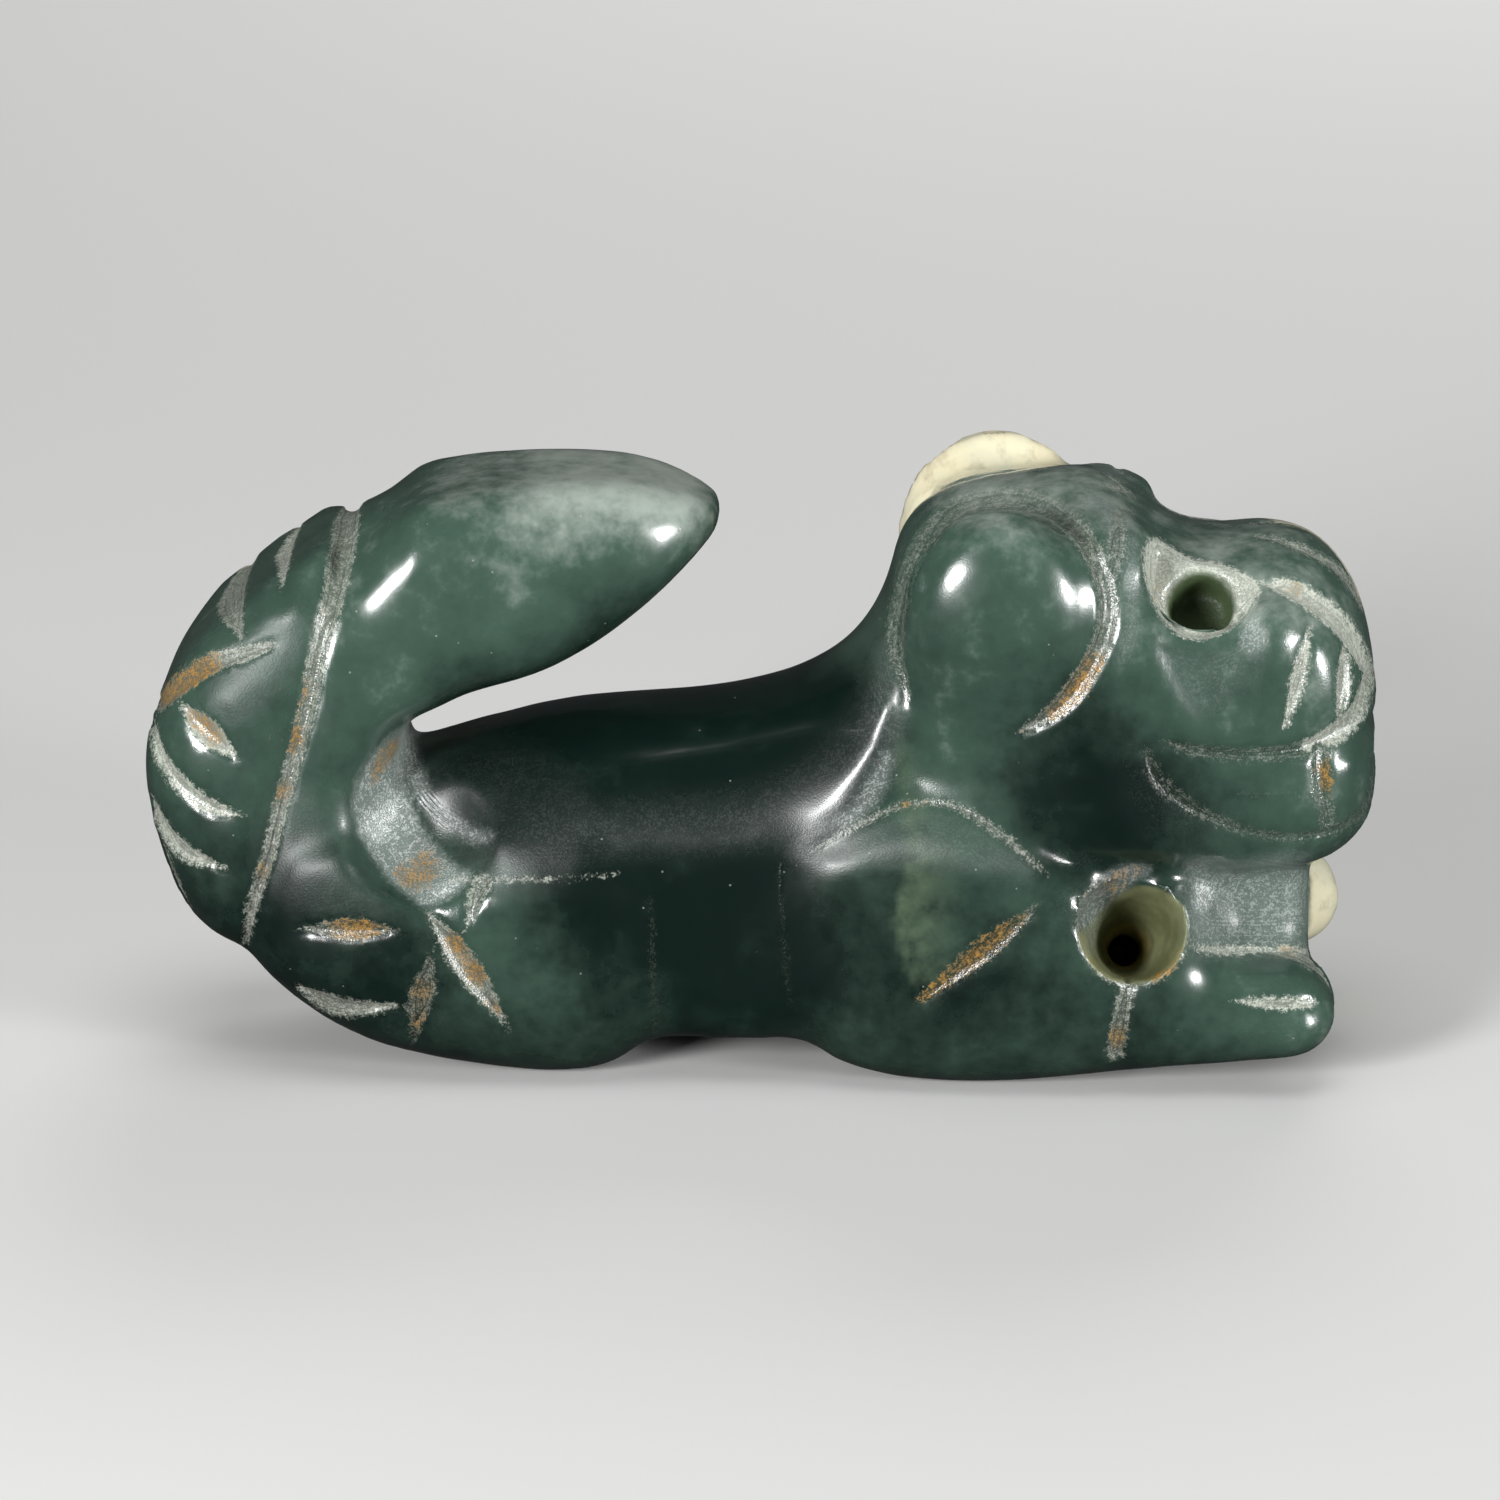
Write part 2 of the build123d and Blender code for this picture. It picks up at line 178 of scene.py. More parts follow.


# What the carver ground into the stone, and one painted highlight: the haunch's top edge is a pale line,
# barely sunk, that stands for light along that edge. Each line's path is a list of places in the picture,
# in points across and down, with the line's full width there in millimetres. Depth is in millimetres too,
# and paleness runs from 0, filled with dirt, to 1, clean ground stone
LINES = {
    # name: (depth, paleness, path)
    "tail band": (0.36, 0.55, [
        (347, 506, 1.3), (343, 548, 1.3), (333, 599, 1.15), (319, 650, 1.0), (309, 700, 0.95),
        (296, 751, 0.85), (282, 803, 0.8), (269, 853, 0.7), (253, 903, 0.6), (245, 942, 0.3),
    ]),
    "tail wedge front": (0.25, 0.85, [(284, 520, 1.2), (283, 550, 0.9), (281, 589, 0.0)]),
    "tail wedge rear": (0.25, 0.60, [(244, 568, 0.5), (230, 603, 1.4), (242, 640, 0.0)]),
    "tail stripe top": (0.28, 0.65, [
        (277, 643, 0.3), (245, 653, 0.8), (211, 663, 1.0), (181, 683, 1.0), (158, 705, 0.6),
    ]),
    "tail leaf": (0.30, 0.95, [(178, 702, 0.0), (206, 732, 1.35), (239, 760, 0.0)]),
    "tail stripe middle": (0.28, 0.90, [
        (151, 722, 0.3), (161, 758, 0.6), (184, 788, 0.85), (213, 808, 0.8), (247, 816, 0.0),
    ]),
    "tail stripe low": (0.28, 0.90, [(149, 797, 0.3), (166, 832, 0.65), (190, 856, 0.8), (227, 870, 0.0)]),
    "tail stripe lowest": (0.20, 0.60, [(156, 832, 0.2), (170, 872, 0.5), (190, 912, 0.2)]),
    "haunch mark upper": (0.28, 0.42, [(298, 930, 0.0), (350, 930, 1.2), (402, 931, 0.0)]),
    "haunch mark lower": (0.25, 0.70, [
        (296, 986, 0.0), (320, 1000, 0.8), (350, 1009, 0.9), (403, 1006, 0.1),
    ]),
    "haunch mark upright": (0.40, 0.35, [(433, 951, 0.0), (422, 995, 1.3), (412, 1042, 0.1)]),
    "haunch mark slanted": (0.38, 0.60, [(428, 912, 0.2), (466, 966, 1.4), (510, 1031, 0.0)]),
    "haunch mark small": (0.22, 0.50, [(481, 884, 1.1), (473, 905, 0.7), (468, 929, 0.1)]),
    "haunch edge": (0.06, 0.06, [(650, 898, 0.2), (653, 960, 0.4), (656, 1036, 0.35)]),
    "flank edge": (0.03, 0.03, [(780, 862, 0.15), (784, 940, 0.3), (790, 1006, 0.2)]),
    "shoulder line": (0.10, 0.40, [
        (812, 852, 0.2), (865, 822, 0.35), (905, 805, 0.3), (950, 805, 0.35), (985, 823, 0.45),
        (1020, 850, 0.4), (1048, 876, 0.1),
    ]),
    "shoulder mark": (0.16, 0.25, [(1038, 906, 0.3), (985, 950, 1.3), (918, 1001, 0.3)]),
    "elbow mark": (0.24, 0.45, [(1128, 984, 0.7), (1122, 1012, 0.85), (1115, 1052, 0.9)]),
    "toe line": (0.22, 0.80, [(1232, 1001, 0.0), (1270, 1003, 0.65), (1312, 1003, 0.5)]),
    "inner toe line": (0.22, 0.70, [
        (1262, 949, 0.2), (1298, 953, 0.85), (1322, 966, 0.85), (1334, 986, 0.4),
    ]),
    "mouth": (0.42, 0.24, [
        (1163, 742, 0.2), (1195, 751, 0.55), (1232, 755, 0.65), (1268, 755, 0.7), (1304, 750, 0.85),
    ]),
    "mouth front": (0.42, 0.85, [
        (1300, 751, 0.6), (1330, 738, 1.0), (1350, 722, 1.0), (1363, 702, 0.8), (1371, 672, 0.5),
    ]),
    "lower lip": (0.20, 0.20, [
        (1146, 750, 0.4), (1157, 778, 0.8), (1177, 797, 0.8), (1206, 815, 0.55), (1250, 832, 0.4),
        (1290, 838, 0.45), (1325, 834, 0.5), (1352, 822, 0.5), (1368, 802, 0.4), (1376, 760, 0.3),
        (1377, 705, 0.2),
    ]),
    "fang": (0.22, 0.28, [(1321, 748, 1.1), (1322, 785, 1.0), (1329, 822, 0.8)]),
    "tooth line": (0.03, 0.15, [(1235, 796, 0.15), (1312, 796, 0.2)]),
    "rear whisker": (0.26, 0.85, [(1311, 626, 0.1), (1299, 677, 0.85), (1286, 727, 0.2)]),
    "front whisker": (0.26, 0.85, [(1346, 642, 0.1), (1345, 680, 0.8), (1341, 720, 0.2)]),
    "nose wing": (0.30, 1.00, [
        (1262, 582, 0.1), (1290, 588, 0.95), (1323, 608, 1.1), (1348, 632, 1.0), (1370, 670, 0.6),
    ]),
    "nose top line": (0.12, 0.55, [
        (1252, 535, 0.0), (1286, 542, 0.35), (1323, 559, 0.4), (1346, 578, 0.4), (1367, 612, 0.25),
    ]),
    # A painted highlight along the haunch's top edge: a pale line, sunk only 0.03 millimetres
    "haunch top edge highlight": (0.03, 0.55, [
        (452, 880, 0.25), (500, 880, 0.2), (560, 879, 0.15), (620, 874, 0.05),
    ]),
    "web foot": (0.05, 0.80, [(1189, 948, 0.2), (1225, 950, 0.5), (1264, 949, 0.3)]),
    "hole rim": (0.03, 0.55, [
        (1100, 878, 0.2), (1085, 904, 0.3), (1081, 935, 0.35), (1093, 963, 0.35), (1115, 981, 0.3),
        (1146, 982, 0.4), (1173, 967, 0.35), (1189, 938, 0.2),
    ]),
    "brow stripe": (0.15, 0.35, [(1120, 512, 0.5), (1117, 540, 0.9), (1111, 575, 0.8), (1109, 608, 0.3)]),
    "brow line": (0.12, 0.45, [(1106, 485, 0.15), (1130, 491, 0.5), (1160, 502, 0.3)]),
    "ear ring rear": (0.42, 0.30, [
        (908, 701, 0.2), (895, 650, 0.8), (900, 600, 0.85), (920, 548, 0.95), (955, 508, 1.1),
        (1000, 497, 1.2), (1045, 505, 1.2), (1070, 522, 1.2),
    ]),
    "ear ring front": (0.42, 0.42, [
        (1070, 522, 1.2), (1085, 538, 1.1), (1105, 580, 1.05), (1108, 625, 1.0), (1085, 676, 1.1),
        (1055, 712, 0.9), (1018, 735, 0.2),
    ]),
}

# Faces ground flat: the plane's middle in millimetres, the way it looks, its paleness, and its outline
FLATS = {
    # name: (middle, azimuth, elevation, paleness, outline)
    "eye socket": ((22.55, -6.16, 25.4), -6.0, 36.0, 1.00, [
        (1155, 537), (1170, 546), (1190, 557), (1218, 563), (1244, 573), (1260, 588), (1252, 606),
        (1236, 622), (1212, 636), (1187, 637), (1166, 622), (1152, 598), (1143, 568), (1145, 544),
    ]),
}

# Shallow hollows: depth and width of the sloping edge in millimetres, and the outline in the picture
HOLLOWS = {
    # name: (depth, slope, outline)
    "cheek hollow": (0.30, 1.2, [
        (1160, 648), (1200, 648), (1246, 622), (1266, 640), (1256, 700), (1214, 728), (1186, 704),
    ]),
    "hole lip": (0.50, 0.8, [
        (1081, 930), (1084, 900), (1099, 878), (1124, 864), (1150, 865), (1172, 879), (1180, 896),
        (1150, 886), (1120, 894), (1098, 917),
    ]),
}

# Zones rubbed matt without being cut, and painted highlights: the curl, curl foot, web and neck
# highlights are pale spots that stand for light. Columns: how matt and how pale they are, the width of
# their soft edge in millimetres, and the outline in the picture. Paleness above 1 is for the brightest
# spots, which are painted highlights
RUBBED_AND_HIGHLIGHTS = {
    # name: (mattness, paleness, edge, outline)
    "curl wall": (1.0, 0.75, 0.5, [
        (411, 724), (397, 731), (377, 751), (359, 781), (353, 804), (358, 828), (371, 854), (391, 880),
        (412, 898), (430, 906), (448, 896), (466, 878), (446, 858), (420, 826), (407, 785), (406, 745),
    ]),
    # Painted highlights on the curl's wall and foot
    "curl highlight": (1.0, 1.60, 0.9, [(362, 815), (378, 810), (390, 822), (388, 840), (374, 846), (362, 834)]),
    "curl foot highlight": (1.0, 1.40, 0.7, [(428, 892), (452, 876), (468, 874), (462, 886), (440, 900)]),
    "curl arcs": (0.8, 0.75, 0.6, [
        (406, 722), (412, 722), (420, 765), (436, 800), (468, 826), (492, 836), (476, 842), (444, 826),
        (418, 800), (404, 765),
    ]),
    "curl bowl": (0.7, 0.0, 2.0, [
        (411, 735), (412, 775), (430, 815), (455, 852), (480, 876), (560, 862), (600, 820), (560, 760),
        (470, 735),
    ]),
    "back slope": (0.35, 0.05, 2.5, [
        (490, 878), (620, 850), (780, 842), (860, 800), (890, 700), (905, 640), (880, 640), (840, 730),
        (760, 790), (600, 810), (500, 840),
    ]),
    "neck": (0.4, 0.14, 1.2, [
        (885, 640), (905, 720), (880, 780), (835, 850), (790, 850), (840, 780), (865, 700),
    ]),
    # A painted highlight along the neck
    "neck highlight": (0.8, 0.60, 1.0, [
        (836, 822), (856, 800), (872, 772), (883, 752), (893, 756), (884, 786), (868, 812), (850, 830),
    ]),
    "chest web": (0.9, 0.45, 1.8, [
        (1192, 866), (1240, 868), (1300, 860), (1312, 900), (1300, 946), (1230, 950), (1192, 948),
        (1186, 910),
    ]),
    # A painted highlight on the chest web
    "web highlight": (0.9, 1.50, 0.8, [(1194, 884), (1208, 882), (1214, 896), (1206, 910), (1194, 908)]),
    "hole crescent": (0.9, 0.42, 0.5, [
        (1084, 930), (1086, 900), (1102, 877), (1128, 866), (1150, 870), (1136, 884), (1116, 905),
        (1100, 932), (1092, 958),
    ]),
    "shoulder top": (0.9, 0.05, 1.5, [
        (800, 850), (850, 836), (905, 816), (950, 816), (990, 833), (1030, 868), (980, 872), (900, 866),
        (830, 868),
    ]),
    "tail root": (0.75, 0.0, 2.0, [
        (280, 790), (345, 810), (352, 860), (385, 905), (360, 930), (290, 910), (255, 860),
    ]),
    "tail shine": (0.8, 0.0, 1.2, [(215, 640), (300, 612), (312, 650), (245, 725), (205, 700)]),
    "tear hollow": (0.4, 0.10, 1.5, [
        (1160, 650), (1200, 655), (1250, 640), (1258, 612), (1266, 650), (1240, 690), (1200, 712),
    ]),
    "eye corner": (0.8, 0.60, 0.7, [(1243, 615), (1256, 612), (1262, 640), (1254, 660), (1242, 645)]),
    "brow shine": (0.4, 0.25, 1.0, [
        (1075, 500), (1105, 530), (1125, 600), (1120, 660), (1135, 640), (1140, 560), (1118, 500),
    ]),
    "lip corner": (0.10, 0.02, 2.5, [(1130, 745), (1180, 790), (1240, 830), (1180, 850), (1130, 800)]),
}

# Where a small step is worked away before the carving: rounds of smoothing, outline in the picture
FADES = {
    # name: (rounds, outline)
    "ear foot": (60, [
        (905, 690), (930, 650), (990, 668), (1045, 655), (1062, 690), (1035, 745), (960, 765), (905, 735),
    ]),
    "bowl rim": (110, [(478, 770), (520, 740), (575, 790), (565, 880), (510, 896), (486, 872), (505, 840)]),
    "web root": (70, [(1196, 866), (1225, 866), (1228, 945), (1205, 968), (1197, 930)]),
    "haunch front": (50, [(630, 870), (690, 862), (700, 1050), (640, 1050)]),
    "elbow front": (70, [(1178, 945), (1214, 952), (1224, 1040), (1192, 1052), (1174, 1000)]),
    "tail notch": (60, [(370, 458), (412, 458), (414, 500), (382, 522), (364, 505)]),
    "band front": (60, [(362, 515), (402, 520), (400, 600), (385, 650), (346, 655), (352, 590)]),
    "flank": (50, [(765, 850), (815, 830), (825, 1050), (775, 1050)]),
}

# Where sharp steps are softened after the carving: rounds of smoothing, outline in the picture
SOFTENED = {
    # name: (rounds, outline)
    "hole lip": (16, [
        (1074, 935), (1078, 896), (1096, 870), (1126, 856), (1160, 858), (1186, 878), (1194, 905),
        (1176, 900), (1150, 890), (1122, 897), (1102, 918), (1094, 950),
    ]),
    "socket foot": (14, [
        (1148, 596), (1158, 610), (1176, 628), (1204, 636), (1214, 646), (1186, 648), (1160, 634),
        (1146, 612),
    ]),
}

# Lighter and darker parts, as soft round spots: partly the stone's own tone, partly painted shade that
# darkens the lower forms, the trunk, the back and the curl's bowl, and partly painted light that lightens
# upward-facing forms such as the tail's top, the forehead and the muzzle
TONE_AND_SHADING = [
    # (across, down, radius in millimetres, amount from -1 to 1)
    (620, 474, 4.6, 1.00), (668, 490, 2.0, 0.60), (530, 490, 3.5, 0.45), (458, 482, 1.6, 0.35),
    (523, 594, 1.4, 0.35), (497, 633, 1.2, 0.30), (560, 620, 1.2, 0.20), (392, 686, 1.2, 0.20),
    (420, 560, 5.0, 0.05), (470, 660, 3.0, -0.20), (620, 560, 3.5, -0.35), (250, 760, 5.0, -0.15),
    (205, 910, 5.0, -0.55), (300, 860, 3.0, -0.15), (330, 960, 5.5, -0.60), (480, 1050, 7.0, -0.65),
    (560, 960, 6.0, 0.40), (690, 950, 7.0, -0.95), (600, 840, 6.0, -0.70), (640, 760, 7.0, -1.00),
    (770, 740, 6.0, -1.00), (480, 770, 4.0, -1.00), (850, 730, 3.0, -0.40), (860, 960, 6.0, -0.55),
    (1010, 1010, 6.0, -0.55), (935, 950, 1.8, 0.35), (1090, 790, 4.5, -0.85), (1050, 870, 3.0, -0.15),
    (1160, 850, 4.5, -0.35), (1160, 1050, 4.0, -0.40), (1060, 700, 2.5, -0.20), (1050, 470, 4.5, 0.55),
    (960, 480, 3.0, 0.45), (1166, 514, 0.7, 0.60), (1180, 600, 3.5, 0.10), (1240, 560, 3.5, 0.45),
    (1260, 660, 4.0, 0.10), (1230, 790, 3.5, -0.10), (1260, 1010, 4.0, -0.10), (1300, 1030, 1.5, 0.30),
    (1320, 620, 3.0, 0.35),
]

# A yellower vein that runs down the shoulder, sharp on its left side and fading out to the right
VEIN = [
    # (down the picture, left edge, reach in millimetres, strength)
    (712, 890, 1.4, 0.0), (760, 895, 1.8, 0.4), (800, 899, 2.6, 0.6), (859, 904, 3.6, 0.9),
    (921, 892, 4.2, 1.0), (968, 903, 3.6, 0.8), (1012, 922, 2.0, 0.0),
]

# Rust stains, as soft round spots
STAINS = [
    # (across, down, radius in millimetres, strength)
    (205, 666, 1.12, 1.0), (178, 682, 1.12, 1.0), (160, 702, 0.75, 0.6), (200, 718, 0.88, 0.9),
    (216, 738, 0.75, 0.8), (293, 690, 1.12, 0.9), (285, 735, 1.25, 1.0), (276, 790, 1.12, 0.8),
    (261, 870, 0.75, 0.7), (322, 610, 0.88, 0.4), (226, 803, 0.75, 0.4), (171, 874, 0.75, 0.6),
    (393, 742, 0.6, 0.9), (385, 756, 0.6, 1.0), (377, 770, 0.55, 0.9), (372, 784, 0.4, 0.6),
    (420, 846, 0.9, 0.6), (408, 880, 1.12, 0.5), (345, 926, 1.25, 0.8), (375, 928, 1.0, 0.7),
    (322, 990, 1.0, 0.4), (421, 990, 1.0, 0.7), (419, 1025, 0.88, 0.7), (456, 942, 0.88, 0.9),
    (476, 972, 1.0, 0.9), (494, 1008, 0.75, 0.7), (653, 930, 0.75, 0.6), (655, 985, 0.88, 0.6),
    (656, 1025, 0.62, 0.6), (435, 641, 0.31, 0.6), (1096, 668, 1.0, 0.9), (1080, 695, 1.0, 1.0),
    (1058, 715, 0.75, 0.9), (1020, 734, 0.5, 0.5), (1296, 589, 0.62, 0.7), (1326, 770, 0.75, 1.0),
    (1330, 788, 0.56, 1.0), (1182, 747, 0.75, 0.5), (905, 803, 0.44, 0.9), (926, 805, 0.31, 0.7),
    (1015, 922, 1.12, 0.8), (985, 946, 1.25, 0.9), (955, 972, 1.25, 0.8), (928, 995, 1.12, 1.0),
    (1118, 1036, 0.88, 0.8), (1288, 950, 0.75, 0.6), (862, 993, 1.0, 0.35), (1172, 950, 1.25, 0.7),
    (1160, 975, 1.0, 0.7), (1095, 960, 0.62, 0.5), (610, 628, 0.62, 0.3), (1104, 892, 1.12, 0.7),
    (1124, 874, 1.0, 0.8), (1144, 868, 0.62, 0.6), (436, 868, 0.9, 0.7), (414, 878, 0.9, 0.5),
    (395, 868, 0.6, 0.4), (1158, 575, 1.75, 0.35), (1160, 605, 1.0, 0.3),
]

# The same where the far side shows above the near side, with the same columns
FAR_STAINS = [(1024, 421, 0.6, 1.0), (1040, 428, 0.5, 0.9), (1008, 426, 0.4, 0.6), (985, 440, 0.5, 0.4)]

# Places on the far side that are pale although they lie near the middle, with the same columns
FAR_PALE = [
    (1376, 925, 3.0, 1.0), (1290, 524, 1.2, 1.0), (1318, 536, 1.2, 1.0), (1342, 560, 1.2, 1.0),
    (1360, 600, 1.0, 1.0),
]


def in_picture(places):
    """Where places on the stone are seen in the picture, in picture points from its upper left corner."""
    offset = places - AIM
    nearness = EYE_DISTANCE / (EYE_DISTANCE - offset @ TO_EYE)
    points_per_mm = PICTURE_POINTS / PICTURE_WIDTH
    across = PICTURE_POINTS / 2 + offset @ RIGHTWARD * nearness * points_per_mm
    down = PICTURE_POINTS / 2 - offset @ UPWARD * nearness * points_per_mm
    return np.stack((across, down), axis=1)


def in_millimetres(points):
    """A distance in the picture's points as millimetres on the stone."""
    return points * PICTURE_WIDTH / PICTURE_POINTS


def rounded_path(path, closed=False, steps=6):
    """A smooth run of points through a path's own points, widths included."""
    points = np.array(path, float)
    if len(points) < 3:
        return points
    if closed:
        points = np.vstack((points, points[0]))
        padded = np.vstack((points[-2], points, points[1]))
    else:
        padded = np.vstack((2 * points[0] - points[1], points, 2 * points[-1] - points[-2]))
    run = []
    for before, start, end, after in zip(padded, padded[1:], padded[2:], padded[3:]):
        for t in np.arange(steps) / steps:
            run.append(
                0.5 * (2 * start + (end - before) * t + (2 * before - 5 * start + 4 * end - after) * t**2
                       + (3 * start - before - 3 * end + after) * t**3)
            )
    return np.vstack((run, points[-1]))


def nearest_on(seen, run):
    """Distance of each seen place from a run of points, and the run's third value at the nearest spot."""
    best = np.full(len(seen), 1e9)
    value = np.zeros(len(seen))
    for start, end in zip(run, run[1:]):
        step = end[:2] - start[:2]
        t = np.clip((seen - start[:2]) @ step / max(step @ step, 1e-9), 0, 1)
        away = np.linalg.norm(seen - start[:2] - t[:, None] * step, axis=1)
        closer = away < best
        best[closer] = away[closer]
        if run.shape[1] > 2:
            value[closer] = (start[2] + (end[2] - start[2]) * t)[closer]
    return best, value


def inside(seen, outline):
    """Whether each seen place lies within a closed outline."""
    crossings = np.zeros(len(seen), bool)
    for (ax, ay), (bx, by) in zip(outline, np.roll(outline, -1, axis=0)):
        spans = (ay > seen[:, 1]) != (by > seen[:, 1])
        crossings ^= spans & (seen[:, 0] < ax + (seen[:, 1] - ay) / (by - ay + 1e-12) * (bx - ax))
    return crossings


def soft_step(low, high, value):
    """0 below low, 1 above high and a soft rise between them."""
    t = np.clip((value - low) / (high - low), 0, 1)
    return t * t * (3 - 2 * t)


class Skin:
    """The stone's skin while it is worked on: its points, edges and triangles, in millimetres."""

    def __init__(self, mesh):
        self.mesh = mesh
        self.places = self.read("vertices", "co", 3) / MM
        self.edges = self.read("edges", "vertices", 2, np.int32)
        mesh.calc_loop_triangles()
        self.triangles = self.read("loop_triangles", "vertices", 3, np.int32)
        self.degree = np.bincount(self.edges.ravel(), minlength=len(self.places)).clip(1)
        self.look()

    def read(self, kind, name, width, number=np.float32):
        """One property of all the mesh's points, edges or triangles, as rows of this width."""
        items = getattr(self.mesh, kind)
        values = np.empty(len(items) * width, number)
        items.foreach_get(name, values)
        return values.reshape(-1, width).astype(float if number is np.float32 else number)

    def turn(self):
        """Works out the points' normals."""
        a, b, c = (self.places[self.triangles[:, k]] for k in range(3))
        face = np.cross(b - a, c - a)
        total = np.zeros_like(self.places)
        for k in range(3):
            for axis in range(3):
                total[:, axis] += np.bincount(self.triangles[:, k], face[:, axis], minlength=len(total))
        self.normals = total / np.linalg.norm(total, axis=1, keepdims=True).clip(1e-12)

    def look(self):
        """Works out where each point is seen in the picture, far-side points by their mirror images."""
        self.turn()
        self.fold = np.where(self.places[:, 1:2] > 0, (1, -1, 1), (1, 1, 1))
        self.near = self.places * self.fold
        self.seen = in_picture(self.near)
        self.facing = (self.normals * self.fold) @ TO_EYE

    def neighbour_mean(self, values):
        """The mean of the values at each point's neighbours."""
        out = np.zeros_like(values)
        for one, other in ((0, 1), (1, 0)):
            for axis in range(values.shape[1]):
                out[:, axis] += np.bincount(
                    self.edges[:, one], values[self.edges[:, other], axis], minlength=len(values)
                )
        return out / self.degree[:, None]

    def relax(self, weight, rounds, ridges=1.0):
        """Moves each point towards its neighbours' mean; ridges is the share that raised forms lose."""
        share = np.broadcast_to(weight, (len(self.places),))[:, None]
        for _ in range(rounds):
            step = self.neighbour_mean(self.places) - self.places
            if ridges < 1:
                self.turn()
                rise = np.einsum("ij,ij->i", step, self.normals)[:, None]
                step += (ridges - 1) * rise.clip(max=0) * self.normals
            self.places += share * step
        self.look()

    def spread(self, values, rounds):
        """The same values, blurred over the skin."""
        values = values[:, None].astype(float)
        for _ in range(rounds):
            values = 0.5 * values + 0.5 * self.neighbour_mean(values)
        return values[:, 0]

    def sink(self, depth):
        """Moves each point inward by its own depth."""
        self.places -= self.normals * depth[:, None]
        self.look()

    def line(self, path, widen=0.0):
        """How far each point is past a ground line's edge and half the line's width, in millimetres."""
        thinnest = 0.03
        away, width = nearest_on(self.seen, rounded_path(path))
        half = (width / 2 + widen).clip(thinnest)
        past = in_millimetres(away) - half
        past[self.facing < LINE_FACING] = FAR_AWAY
        return past, half

    def border(self, outline):
        """How far each point is past a closed outline, in millimetres; negative inside it."""
        ring = rounded_path(outline, closed=True)
        away, _ = nearest_on(self.seen, ring)
        past = in_millimetres(np.where(inside(self.seen, ring), -away, away))
        past[self.facing < ZONE_FACING] = FAR_AWAY
        return past

    def zone(self, outline, edge):
        """1 inside an outline in the picture and 0 outside, over a soft edge of this width."""
        return 1 - soft_step(-edge / 2, edge / 2, self.border(outline))

    def write(self):
        """Gives the points' places back to the mesh."""
        self.mesh.vertices.foreach_set("co", (self.places * MM).astype(np.float32).ravel())
        self.mesh.update()

    def keep(self, name, values):
        """Stores a value at each point for the material to read."""
        layer = self.mesh.attributes.new(name, "FLOAT", "POINT")
        layer.data.foreach_set("value", values.astype(np.float32))


def merged_copy(node):
    """A copy of a CAD node's mesh, with its loose triangles joined."""
    bm = bmesh.new()
    bm.from_mesh(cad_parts[node].data)
    bmesh.ops.remove_doubles(bm, verts=bm.verts, dist=1e-6)
    mesh = bpy.data.meshes.new("carved_cat")
    bm.to_mesh(mesh)
    bm.free()
    return mesh


def remeshed(mesh, grain):
    """The same form with an even skin of small four-sided meshes."""
    holder = bpy.data.objects.new("skin_holder", mesh)
    bpy.context.scene.collection.objects.link(holder)
    remesh = holder.modifiers.new("Skin", "REMESH")
    remesh.mode = "VOXEL"
    remesh.voxel_size = grain
    depsgraph = bpy.context.evaluated_depsgraph_get()
    skin = bpy.data.meshes.new_from_object(holder.evaluated_get(depsgraph))
    bpy.data.objects.remove(holder)
    bpy.data.meshes.remove(mesh)
    skin.name = "carved_cat"
    skin.materials.clear()
    return skin


def refined(mesh, chosen):
    """Cuts the meshes round the chosen points in four."""
    bm = bmesh.new()
    bm.from_mesh(mesh)
    bm.verts.ensure_lookup_table()
    edges = [edge for edge in bm.edges if chosen[edge.verts[0].index] and chosen[edge.verts[1].index]]
    bmesh.ops.subdivide_edges(bm, edges=edges, cuts=1, use_grid_fill=True)
    bm.to_mesh(mesh)
    bm.free()
    return mesh


# Middle of the arcs that the grinding left in the tail's curl, in the picture
CURL_MIDDLE = np.array((497.0, 742.0))

# The drilled holes, which keep their shape when the rest is smoothed. Narrowing is what the radius loses
# for each millimetre of depth
BORES = {
    # name: (middle of the mouth, way out, radius there, narrowing, throat's radius, depth)
    "hole": ((19.30, -10.3, 9.17), (0.0627, -0.8966, 0.4384), 2.85, 0.286, 0.85, 13.0),
    "pupil": ((22.55, -6.07, 25.47), (0.0, -0.788, 0.616), 1.55, 0.0, 1.55, 2.6),
}


def bored(skin, name, margin):
    """How much each point belongs to a drilled hole's wall and floor, and its depth in millimetres."""
    mouth, way_out, radius, narrowing, throat, depth = BORES[name]
    offset = skin.near - mouth
    deep = -(offset @ way_out)
    off_axis = np.linalg.norm(offset + deep[:, None] * way_out, axis=1)
    past = off_axis - (radius - narrowing * deep.clip(0)).clip(throat)
    share = 1 - soft_step(0.05, margin, past)
    share[(deep < -BORE_LIP) | (deep > depth)] = 0.0
    return share, deep


def all_bored(skin):
    """How much each point belongs to any drilled hole."""
    return np.maximum(*(bored(skin, name, 0.5)[0] for name in BORES))


